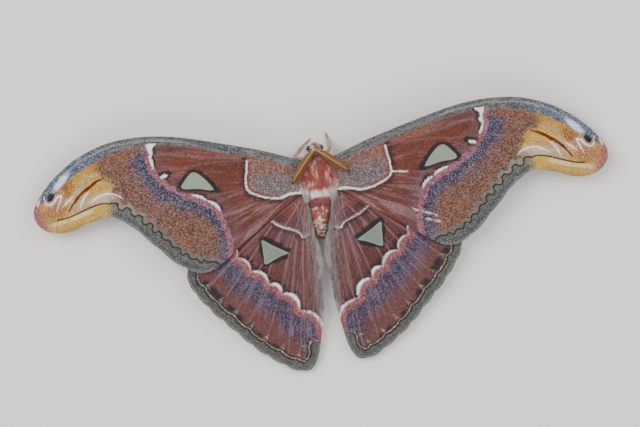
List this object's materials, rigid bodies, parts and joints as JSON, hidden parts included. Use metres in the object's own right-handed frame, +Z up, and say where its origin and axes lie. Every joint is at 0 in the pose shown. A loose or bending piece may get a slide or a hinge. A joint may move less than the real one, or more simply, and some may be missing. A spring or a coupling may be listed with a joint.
{
  "type": "atlas moth",
  "caption": "Large moth with its wings spread flat: hooked forewing tips, clear wing windows, furred body, feathered feelers, standing on its legs.",
  "frame": {"origin": "middle of the moth's footprint, on the floor", "axes": "+X to the moth's right along its wingspan, +Y towards its head, +Z up"},
  "size_m": [0.2206, 0.0966, 0.0165],
  "materials": {
    "wing": "matt scales, red-brown",
    "thorax_fur": "dense red fur",
    "abdomen_fur": "orange-red fur with pale bands",
    "head_fur": "short red-brown fur",
    "eye": "dark, faintly glossy",
    "antenna": "matt ochre-brown",
    "leg": "short pinkish-brown fur"
  },
  "bodies": {
    "root": {"thorax": "thorax_fur", "abdomen": "abdomen_fur", "head": "head_fur", "eye_left": "eye", "eye_right": "eye", "antenna_left": "antenna", "antenna_right": "antenna", "forewing_left": "wing", "forewing_right": "wing", "hindwing_left": "wing", "hindwing_right": "wing", "leg_front_left": "leg", "leg_front_right": "leg", "leg_mid_left": "leg", "leg_mid_right": "leg", "leg_hind_left": "leg", "leg_hind_right": "leg"}
  },
  "joints": []
}
